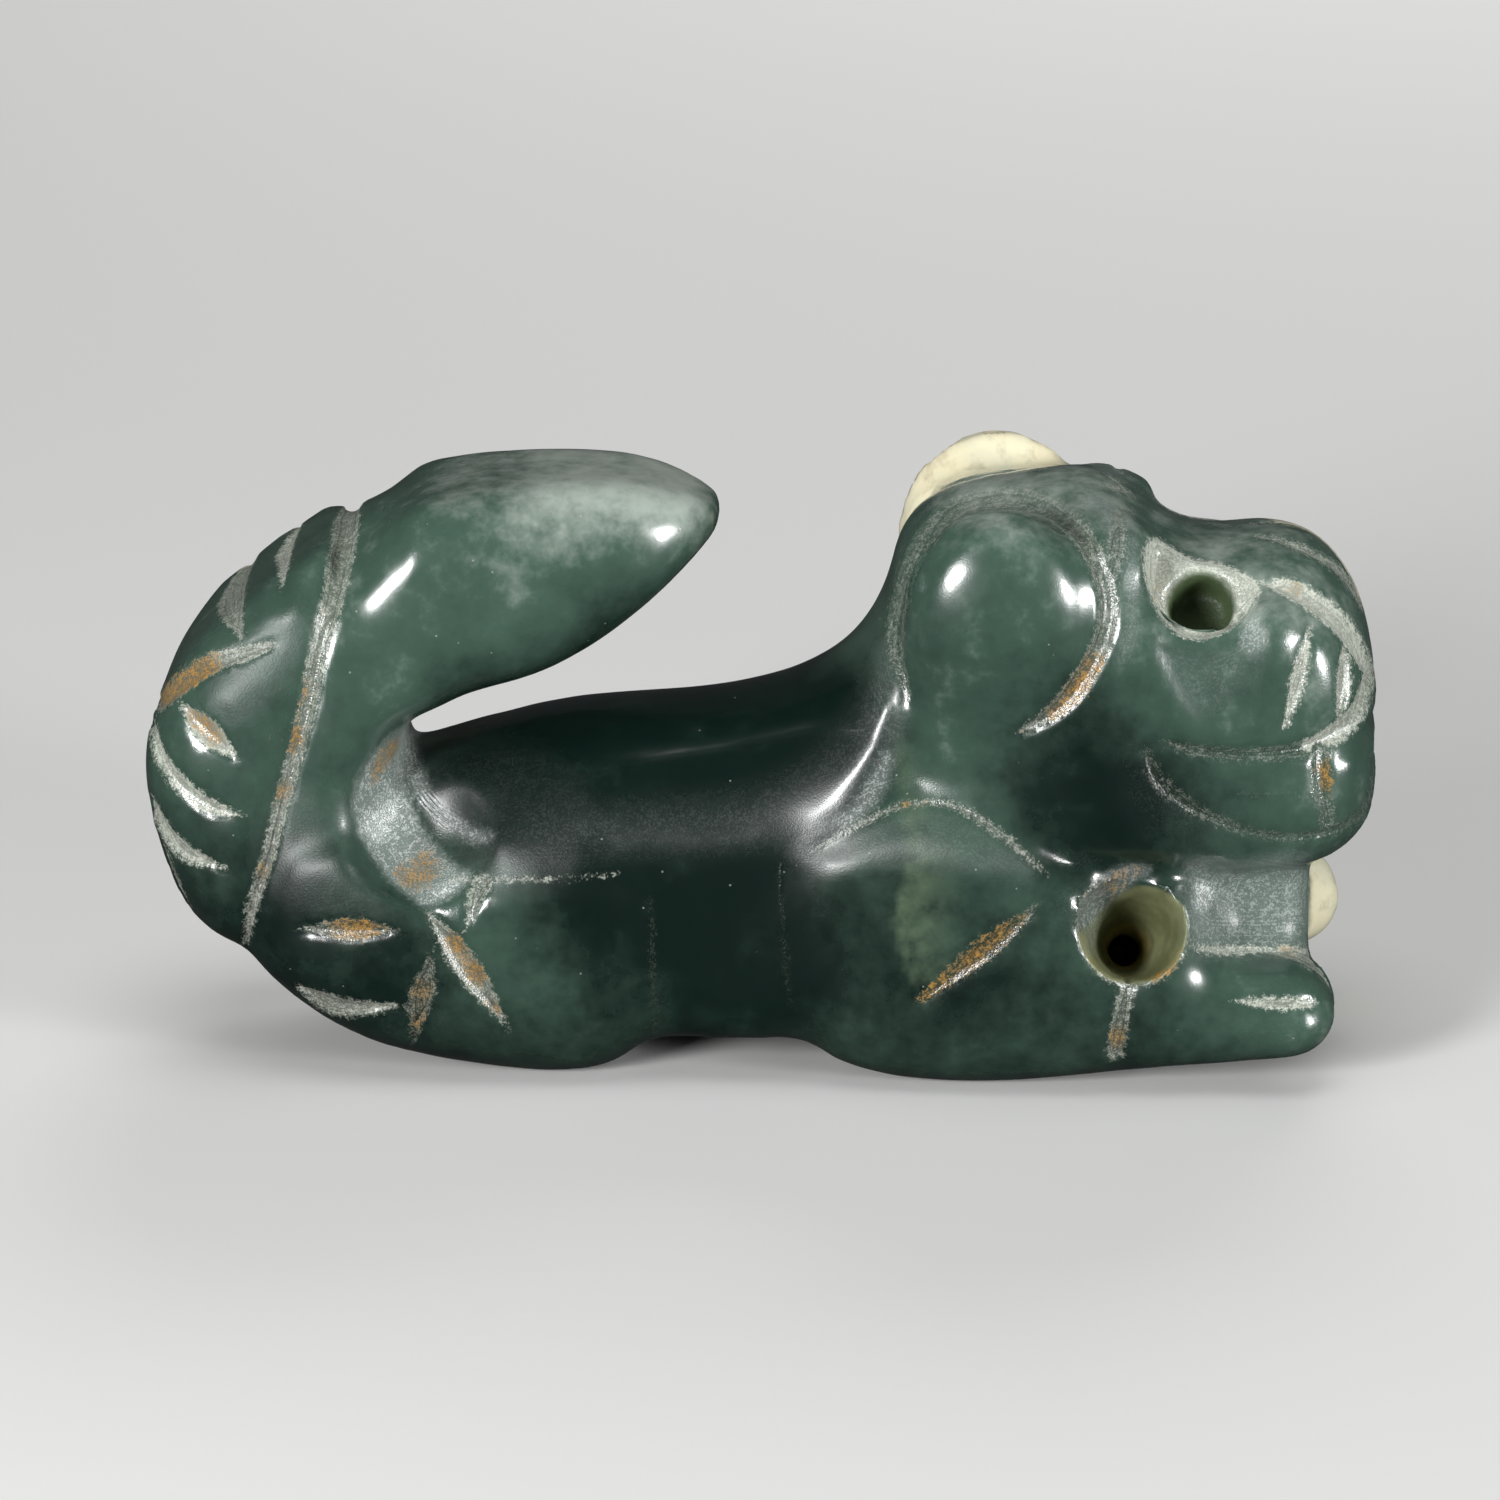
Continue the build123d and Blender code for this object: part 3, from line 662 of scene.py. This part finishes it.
def grind_flats(skin):
    """Grinds the flat faces; returns how far each point is past the nearest edge, and how pale it is.

    Stone above a plane is ground down to it. Stone below rises by a share of the gap, so that the flat
    has no dent.
    """
    plane_reach, inner_slope, outer_slope = 4, 0.50, 0.12
    filled, deepest = 0.6, 1.5
    edge = np.full(len(skin.places), EDGE_REACH)
    pale = np.full(len(skin.places), 0.5)
    for middle, azimuth, elevation, paleness, outline in FLATS.values():
        outward = direction(azimuth, elevation)
        height = (skin.near - middle) @ outward
        past = np.where(np.abs(height) < plane_reach, skin.border(outline), FAR_AWAY)
        share = 1 - soft_step(-inner_slope, outer_slope, past)
        share *= 1 - bored(skin, "pupil", 0.3)[0]
        height = np.where(height > 0, height, filled * height.clip(-deepest))
        skin.places -= (share * height)[:, None] * outward * skin.fold
        pale[past < edge] = paleness
        edge = np.minimum(edge, past)
    skin.look()
    return edge, pale


def carve(skin):
    """Grinds every line and hollow into the skin; returns the marks that the material reads.

    They tell how far each point is past the nearest edge, how pale it is there, how much it is rubbed,
    and how much it is brightened, by pale rubbed stone in some zones and by painted highlights in others.
    """
    edge, pale = grind_flats(skin)
    depth = np.zeros(len(skin.places))
    rubbed = np.zeros(len(skin.places))
    bright = np.zeros(len(skin.places))
    for deep, paleness, path in LINES.values():
        past, half = skin.line(path)
        depth = np.maximum(depth, deep * (1 - np.clip(1 + past / half, 0, 1) ** 2))
        pale[past < edge] = paleness
        edge = np.minimum(edge, past)
    for deep, slope, outline in HOLLOWS.values():
        depth = np.maximum(depth, deep * skin.zone(outline, slope))
    # Their paleness includes the painted highlights
    for mattness, paleness, soft_edge, outline in RUBBED_AND_HIGHLIGHTS.values():
        share = skin.zone(outline, soft_edge)
        rubbed = np.maximum(rubbed, share * mattness)
        bright = np.maximum(bright, share * paleness)
    skin.sink(depth)
    edge = edge.clip(-EDGE_REACH, EDGE_REACH)
    return {"edge": edge, "pale": pale, "rubbed": rubbed, "bright": bright}


def spotted(seen, spots, floor=-1.0):
    """Adds up soft round spots, which fade from their full strength near the middle to none."""
    full, none = 0.2, 1.6
    total = np.zeros(len(seen))
    for across, down, radius, strength in spots:
        away = in_millimetres(np.hypot(seen[:, 0] - across, seen[:, 1] - down))
        total += strength * (1 - soft_step(full * radius, none * radius, away))
    return total.clip(floor, 1.0)


def veined(skin):
    """How strongly the shoulder's vein shows at each point."""
    down, left_edge, reach, strength = np.array(VEIN).T
    row = skin.seen[:, 1]
    across = in_millimetres(skin.seen[:, 0] - np.interp(row, down, left_edge))
    share = soft_step(-0.1, 0.25, across) * (1 - soft_step(0, 1, across / np.interp(row, down, reach)))
    return share * np.interp(row, down, strength) * (skin.facing > ZONE_FACING)


def waves(skin, height):
    """The slight waviness of a surface ground by hand."""
    coarse, fine, fine_share = 0.16, 0.45, 0.35
    rise = np.empty(len(skin.places))
    for index, place in enumerate(skin.places):
        spot = Vector(place)
        rise[index] = noise.noise(spot * coarse) + fine_share * noise.noise(spot * fine)
    return rise * height


def melt(skin, blending):
    """Melts the CAD's forms into each other, heals its own lines and works its small steps away."""
    kept = all_bored(skin)
    loose = 0.5 * (1 - 0.9 * kept)
    skin.relax(loose, 5)
    skin.relax(loose, blending, ridges=0.15)
    healed = np.zeros(len(skin.places))
    for _, _, path in LINES.values():
        past, _ = skin.line(path, widen=0.45)
        healed = np.maximum(healed, 1 - soft_step(0.0, 0.7, past))
    healed *= 1 - kept
    skin.relax(0.55 * healed, 80, ridges=0.5)
    for rounds, outline in FADES.values():
        skin.relax(0.6 * skin.zone(outline, 1.0) * (1 - kept), rounds)
    return kept


def needs_cutting(skin, kept):
    """Whether each point lies where the skin has to be finer: in a hole, on a line or at a flat's edge."""
    middle_depth, depth_reach, flat_reach, line_reach = 3.0, 5.0, 0.35, 0.06
    fine = (kept > 0.3) & (np.abs(bored(skin, "hole", 0.5)[1] - middle_depth) < depth_reach)
    for _, _, path in LINES.values():
        fine |= skin.line(path)[0] < line_reach
    for _, _, _, _, outline in FLATS.values():
        fine |= np.abs(skin.border(outline)) < flat_reach
    return fine


def keep_stone_marks(skin):
    """Stores what the material needs to know: stains, tone with painted shade and light, holes and hollows.
    """
    hole_fade, pupil_fade = 0.18, 0.32
    everywhere, sideways = in_picture(skin.places), skin.places[:, 1]
    rust = spotted(skin.seen, STAINS, floor=0.0) * (skin.facing > STAIN_FACING)
    far_rust = 2 * spotted(everywhere, FAR_STAINS) * (sideways > FAR_STAINS_FROM)
    skin.keep("rust", np.maximum(rust, far_rust))
    far_pale = spotted(everywhere, FAR_PALE) * (sideways > FAR_PALE_FROM)
    skin.keep("far", sideways + FAR_PALE_SHIFT * far_pale)
    # Tone spots, with painted shade and painted light among them
    skin.keep("tint", skin.spread(spotted(skin.seen, TONE_AND_SHADING), 4))
    skin.keep("vein", veined(skin))
    in_hole, deep = bored(skin, "hole", hole_fade)
    skin.keep("hole", in_hole)
    skin.keep("hole_depth", deep.clip(-2, 14))
    skin.keep("pupil", bored(skin, "pupil", pupil_fade)[0])
    bend = np.einsum("ij,ij->i", skin.neighbour_mean(skin.places) - skin.places, skin.normals)
    skin.keep("hollow", skin.spread(bend, 12))
    skin.keep("curl", in_millimetres(np.linalg.norm(skin.seen - CURL_MIDDLE, axis=1)))


def make_skin(settings):
    """The cat's whole skin, carved, with what the material needs to know at each point."""
    mesh = remeshed(merged_copy("big_cat"), settings.grain)
    skin = Skin(mesh)
    kept = melt(skin, settings.blending)
    skin.write()
    skin = Skin(refined(mesh, needs_cutting(skin, kept)))
    kept = all_bored(skin)
    skin.relax(0.5 * (1 - 0.9 * kept), 4, ridges=0.3)
    marks = carve(skin)
    skin.relax(0.25 * (1 - kept), 2)
    for rounds, outline in SOFTENED.values():
        skin.relax(0.5 * skin.zone(outline, 0.6), rounds)
    skin.sink(-waves(skin, settings.waviness / MM))
    skin.write()
    for name, values in marks.items():
        skin.keep(name, values)
    keep_stone_marks(skin)
    for polygon in mesh.polygons:
        polygon.use_smooth = True
    mesh.update()
    return mesh


class Value:
    """A number that varies over the surface; Python's arithmetic on it adds Math nodes."""

    def __init__(self, paint, socket):
        self.paint, self.socket = paint, socket

    def maths(self, operation, *numbers):
        """One Math node that works on these values."""
        return self.paint.add("ShaderNodeMath", {"operation": operation}, dict(enumerate(numbers)))

    def __add__(self, other):
        return self.maths("ADD", self, other)

    def __sub__(self, other):
        return self.maths("SUBTRACT", self, other)

    def __rsub__(self, other):
        return self.maths("SUBTRACT", other, self)

    def __neg__(self):
        return self * -1.0

    def __mul__(self, other):
        return self.maths("MULTIPLY", self, other)

    __radd__, __rmul__ = __add__, __mul__

    def above(self, other):
        """The larger of the two."""
        return self.maths("MAXIMUM", self, other)

    def between(self, low, high):
        """0 below low, 1 above high and a soft rise between them."""
        return self.paint.add(
            "ShaderNodeMapRange",
            {"interpolation_type": "SMOOTHSTEP"},
            {"Value": self, "From Min": low, "From Max": high},
        )


class Paint:
    """The nodes of a material or of the room's light."""

    # A Mix node has sockets for every kind of data; these are the ones for two colours and their mix
    FIRST, SECOND, MIXED = 6, 7, 2

    def __init__(self, tree):
        self.tree = tree
        self.tree.nodes.clear()

    def add(self, kind, settings, inputs, output=0):
        """One node of any kind: its settings first, then the values or links of its sockets."""
        node = self.tree.nodes.new(kind)
        for name, setting in settings.items():
            setattr(node, name, setting)
        for name, value in inputs.items():
            socket = node.inputs[name]
            if isinstance(value, Value):
                self.tree.links.new(value.socket, socket)
            elif isinstance(value, (int, float)) or socket.type == "VECTOR":
                socket.default_value = value
            else:
                socket.default_value = (*value, 1.0)
        return None if output is None else Value(self, node.outputs[output])

    def blend(self, share, first, second):
        """The first colour where the share is 0 and the second where it is 1."""
        inputs = {"Factor": share, self.FIRST: first, self.SECOND: second}
        return self.add("ShaderNodeMix", {"data_type": "RGBA"}, inputs, self.MIXED)

    def place(self):
        """The place on the object, in metres."""
        return self.add("ShaderNodeTexCoord", {}, {}, "Object")

    def mark(self, name):
        """A value that the skin keeps at each point."""
        return self.add("ShaderNodeAttribute", {"attribute_name": name}, {}, "Fac")

    def clouds(self, size, detail=3.0, roughness=0.5, shift=0.0):
        """Soft noise whose patches are about this many millimetres across."""
        moved = {0: self.place(), 1: (shift, shift, shift)}
        place = self.add("ShaderNodeVectorMath", {"operation": "ADD"}, moved)
        inputs = {"Vector": place, "Scale": 1 / (size * MM), "Detail": detail, "Roughness": roughness}
        return self.add("ShaderNodeTexNoise", {"noise_dimensions": "3D"}, inputs)

    def streaks(self, across):
        """Noise that changes only with this value."""
        return self.add("ShaderNodeTexNoise", {"noise_dimensions": "1D"}, {"W": across, "Scale": 1.0})

    def specks(self, size):
        """Distance from the nearest of many scattered grains this many millimetres apart."""
        inputs = {"Vector": self.place(), "Scale": 1 / (size * MM)}
        return self.add("ShaderNodeTexVoronoi", {"feature": "F1"}, inputs, "Distance")


# Colours that the material mixes in besides those of the panel
COLOURS = {
    "pale grains": (0.55, 0.60, 0.55),
    "greener rind": (0.74, 0.76, 0.60),
    "browner rind": (0.52, 0.47, 0.32),
    # Pale rubbed stone, and the colour of the painted highlights
    "rubbed stone and highlight": (0.84, 0.89, 0.87),
    "bright grains": (0.60, 0.64, 0.62),
    "dark wall": (0.13, 0.14, 0.065),
    "light wall": (0.24, 0.25, 0.13),
    # Painted light: the lighter ring deep in the cord hole
    "deep wall": (0.30, 0.25, 0.09),
    # Painted shade: the near-black throat of the cord hole
    "throat": (0.004, 0.004, 0.002),
    "dark pupil": (0.050, 0.080, 0.032),
    "light pupil": (0.090, 0.130, 0.060),
    "rust grains": (0.50, 0.27, 0.05),
}


def jade(settings):
    """Polished green jade with clouds, a cream rind on the far side, matt ground lines and rust in them."""
    material = bpy.data.materials.new("jade")
    material.use_nodes = True
    paint = Paint(material.node_tree)
    edge, pale, rust, tint = (paint.mark(name) for name in ("edge", "pale", "rust", "tint"))
    rubbed, bright, hollow = (paint.mark(name) for name in ("rubbed", "bright", "hollow"))
    farness, vein, curl = (paint.mark(name) for name in ("far", "vein", "curl"))

    # Noises from broad to fine. Those that end in sway are centred on 0 and unsettle other values
    cloudy = paint.clouds(3.4, detail=4.0, roughness=0.6, shift=0.05)
    mottle = paint.clouds(1.1, detail=3.0, roughness=0.6, shift=0.11)
    grit = paint.clouds(0.10, detail=1.0, shift=0.3)
    grain = paint.clouds(0.075, detail=0.0)
    broad_sway = paint.clouds(9.0, detail=2.0) - 0.5
    cloudy_sway, mottle_sway, grit_sway = cloudy - 0.5, mottle - 0.5, grit - 0.5
    broken_sway = paint.clouds(0.30, detail=2.0, roughness=0.7, shift=0.2) - 0.5
    scratch_sway = paint.streaks(edge * 10.0 + cloudy * 5.0) - 0.5
    glints = (grit + broken_sway * 0.7 + scratch_sway * 0.4).between(0.44, 0.70)

    # The stone itself, darkened where the tone spots paint shade and lightened where they paint light
    lightness = 0.45 + broad_sway * 0.3 + cloudy_sway * 0.45 + mottle_sway * 0.35 + tint * 0.6
    colour = paint.blend(lightness.between(-0.15, 0.65), settings.deep, settings.body)
    # The pale veil follows the tone spots too, so it also carries painted light
    veil_and_light = (tint * 0.8 + cloudy_sway * 0.8 + mottle_sway * 0.9 + 0.02).between(0.05, 1.05)
    colour = paint.blend(veil_and_light * 0.85, colour, settings.cloud)
    vein = vein * (0.55 + cloudy_sway * 2.0 + mottle_sway * 1.5)
    colour = paint.blend(vein * 0.9, colour, settings.vein)
    specks = 1 - paint.specks(1.6).between(0.02, 0.045)
    colour = paint.blend(specks * 0.4, colour, COLOURS["pale grains"])
    rind = (farness + broad_sway * 5.0 + cloudy_sway * 3.0).between(4.4, 5.6)
    cream = paint.blend(cloudy.between(0.35, 0.75) * 0.7, settings.rind, COLOURS["greener rind"])
    cream = paint.blend(mottle.between(0.48, 0.75) * 0.55, cream, COLOURS["browner rind"])
    colour = paint.blend(rind, colour, cream)

    # Where it is ground or rubbed, with bright grains; some of the rubbed zones are painted highlights
    worn = (broken_sway * 0.55 + grit_sway * 0.35 - edge).between(-0.13, 0.13) * pale.between(-0.1, 0.45)
    satin = (hollow.between(0.003, 0.010) * 0.8).above((-hollow).between(0.007, 0.014) * 0.6).above(rubbed)
    cleaned = pale * 0.90 + glints * 0.35 + scratch_sway * 0.5 + broken_sway * 0.5 - 0.15
    powder = paint.blend(cleaned, settings.dirt, settings.ground)
    # Pale rubbed stone, and painted highlights where a zone stands for light
    colour = paint.blend(bright * (0.24 + glints * 0.50), colour, COLOURS["rubbed stone and highlight"])
    colour = paint.blend(worn * (0.30 + pale * 0.48 + glints * 0.15), colour, powder)
    colour = paint.blend(glints * satin * 0.03, colour, COLOURS["bright grains"])

    # Inside the drilled holes, whose walls change with their depth in millimetres: lighter at mid depth as
    # painted light, and nearly black in the throat as painted shade
    hole, hole_depth, pupil = (paint.mark(name) for name in ("hole", "hole_depth", "pupil"))
    hole = hole * (1 - bright)
    wall = paint.blend(cloudy.between(0.35, 0.65), COLOURS["dark wall"], COLOURS["light wall"])
    # Painted light at mid depth
    wall = paint.blend((hole_depth + broken_sway * 1.0).between(5.0, 6.2), wall, COLOURS["deep wall"])
    # Painted shade in the throat
    wall = paint.blend(hole_depth.between(6.8, 7.4), wall, COLOURS["throat"])
    colour = paint.blend(hole, colour, wall)
    floor = paint.blend(mottle, COLOURS["dark pupil"], COLOURS["light pupil"])
    colour = paint.blend(pupil, colour, floor)

    # Rust, most of it in the lines
    caught = rust * (0.45 + worn.above(bright) * 0.75)
    stained = (caught + broken_sway * 1.2 + scratch_sway * 0.8).between(0.50, 1.35)
    colour = paint.blend(stained * 0.65, colour, settings.rust)
    flecks = stained * (grit + broken_sway * 0.8).between(0.42, 0.66)
    colour = paint.blend(flecks * 0.75, colour, COLOURS["rust grains"])

    # Polish, and the fine relief of the ground and rubbed places
    bare = worn.above(satin).above(hole).above(pupil)
    dulled = (1 - bright).above(0.0) * rubbed
    rough = settings.polish + mottle_sway * 0.06 + dulled * 0.28 + pupil * 0.25 + hole * 0.15
    arcs = paint.add("ShaderNodeMath", {"operation": "SINE"}, {0: curl * 30.0 + grit * 3.0})
    near_curl = curl.between(3.7, 4.2) * (1 - curl.between(4.9, 5.5))
    ground = (-edge).between(-0.08, 0.08)
    relief = grain * 0.12 + grit * (ground * 0.9).above(bright * 1.2).above(satin * 0.5)
    relief = relief + arcs * near_curl * bright * 0.6
    normal = paint.add("ShaderNodeBump", {}, {"Strength": 0.6, "Distance": 0.05 * MM, "Height": relief})
    shader = paint.add(
        "ShaderNodeBsdfPrincipled",
        {"subsurface_method": "RANDOM_WALK"},
        {
            "Base Color": colour,
            "Roughness": rough,
            "Normal": normal,
            "IOR": 1.60,
            "Subsurface Weight": 0.30,
            "Subsurface Radius": (0.8, 1.3, 1.0),
            "Subsurface Scale": 0.9 * MM,
            "Coat Weight": (1 - bare * 1.3).above(0.0) * 0.55,
            "Coat Roughness": 0.11,
        },
    )
    paint.add("ShaderNodeOutputMaterial", {}, {"Surface": shader}, None)
    return material


class CARVE_OT_cat(bpy.types.Operator):
    """Carve the cat's detailed skin and give it its jade"""

    bl_idname = "jade_cat.carve"
    bl_label = "Carve the cat"

    def execute(self, context):
        scene = context.scene
        mesh = make_skin(scene.jade_cat_stone)
        mesh.materials.append(jade(scene.jade_cat_colours))
        cat = bpy.data.objects.new("carved_cat", mesh)
        scene.collection.objects.link(cat)
        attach(cat, "root")
        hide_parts("big_cat")
        return {"FINISHED"}


# The lamps: width in metres, angles and distance in millimetres from the cat, whether the polish shows it
LAMPS = {
    # name: (width, azimuth, elevation, distance, mirrored)
    "left_lamp": (0.12, -34.0, 14.7, 420.0, True),
    "right_lamp": (0.10, 59.0, 6.0, 420.0, True),
    "top_lamp": (0.50, 0.0, 82.0, 700.0, False),
    "back_lamp": (0.30, 170.0, 30.0, 500.0, False),
}

# The room's colour, and how bright it is where the camera sees it
ROOM_COLOUR = (0.95, 0.97, 1.0)
ROOM_SEEN = 0.45


def place_camera(scene):
    """The camera, at the place and with the field of view of the picture."""
    camera = bpy.data.cameras.new("camera")
    camera.sensor_width = SENSOR_WIDTH
    camera.lens = SENSOR_WIDTH * EYE_DISTANCE / PICTURE_WIDTH
    camera.clip_start = 0.01
    holder = bpy.data.objects.new("camera", camera)
    holder.location = (AIM + TO_EYE * EYE_DISTANCE) * MM
    holder.rotation_euler = Vector(-TO_EYE).to_track_quat("-Z", "Y").to_euler()
    scene.collection.objects.link(holder)
    scene.camera = holder


def hang_lamp(scene, name, power):
    """One of the round lamps; one that isn't mirrored leaves no highlight."""
    width, azimuth, elevation, distance, mirrored = LAMPS[name]
    towards = direction(azimuth, elevation)
    light = bpy.data.lights.new(name, "AREA")
    light.shape = "DISK"
    light.energy = power
    light.size = width
    holder = bpy.data.objects.new(name, light)
    holder.location = (AIM + towards * distance) * MM
    holder.rotation_euler = Vector(-towards).to_track_quat("-Z", "Y").to_euler()
    holder.visible_glossy = mirrored
    scene.collection.objects.link(holder)


def light_room(scene, strength):
    """A faint even light; looked at directly, the room is as pale as the floor."""
    world = bpy.data.worlds.new("room")
    world.use_nodes = True
    paint = Paint(world.node_tree)
    direct = paint.add("ShaderNodeLightPath", {}, {}, "Is Camera Ray")
    brightness = direct * (ROOM_SEEN - strength) + strength
    sky = paint.add("ShaderNodeBackground", {}, {"Color": ROOM_COLOUR, "Strength": brightness})
    paint.add("ShaderNodeOutputWorld", {}, {"Surface": sky}, None)
    scene.world = world


def lay_floor(scene, size, colour):
    """A plain floor under the cat, which throws no colour on it and isn't mirrored in it."""
    bm = bmesh.new()
    bmesh.ops.create_grid(bm, x_segments=1, y_segments=1, size=size / 2)
    mesh = bpy.data.meshes.new("floor")
    bm.to_mesh(mesh)
    bm.free()
    floor = bpy.data.objects.new("floor", mesh)
    floor.visible_glossy = floor.visible_diffuse = False
    material = bpy.data.materials.new("floor")
    material.use_nodes = True
    surface = material.node_tree.nodes["Principled BSDF"].inputs
    surface["Base Color"].default_value = (*colour, 1)
    surface["Roughness"].default_value = 0.9
    mesh.materials.append(material)
    scene.collection.objects.link(floor)


class CARVE_OT_stage(bpy.types.Operator):
    """Set up the camera, the pale floor and the soft lights"""

    bl_idname = "jade_cat.stage"
    bl_label = "Set the stage"

    def execute(self, context):
        scene, settings = context.scene, context.scene.jade_cat_stage
        place_camera(scene)
        lay_floor(scene, settings.floor_size, settings.floor_colour)
        for name in LAMPS:
            hang_lamp(scene, name, getattr(settings, name))
        light_room(scene, settings.room_light)
        scene.view_settings.view_transform = "Standard"
        return {"FINISHED"}


class CARVE_PT_panel(bpy.types.Panel):
    """Sizes, colours and the two steps"""

    bl_label = "Jade Cat"
    bl_idname = "CARVE_PT_panel"
    bl_space_type = "VIEW_3D"
    bl_region_type = "UI"
    bl_category = "Jade Cat"

    def draw(self, context):
        scene, layout = context.scene, self.layout
        for group in (scene.jade_cat_stage, scene.jade_cat_stone, scene.jade_cat_colours):
            for name in group.bl_rna.properties.keys():
                if name not in ("rna_type", "name"):
                    layout.prop(group, name)
        layout.operator(CARVE_OT_stage.bl_idname)
        layout.operator(CARVE_OT_cat.bl_idname)


CLASSES = (StoneSettings, JadeSettings, StageSettings, CARVE_OT_stage, CARVE_OT_cat, CARVE_PT_panel)


def register():
    for cls in CLASSES:
        bpy.utils.register_class(cls)
    bpy.types.Scene.jade_cat_stone = PointerProperty(type=StoneSettings)
    bpy.types.Scene.jade_cat_colours = PointerProperty(type=JadeSettings)
    bpy.types.Scene.jade_cat_stage = PointerProperty(type=StageSettings)


def unregister():
    del bpy.types.Scene.jade_cat_stage
    del bpy.types.Scene.jade_cat_colours
    del bpy.types.Scene.jade_cat_stone
    for cls in reversed(CLASSES):
        bpy.utils.unregister_class(cls)


def main():
    """Builds the stage and the cat."""
    register()
    bpy.ops.jade_cat.stage()
    bpy.ops.jade_cat.carve()


if __name__ == "__main__":
    main()
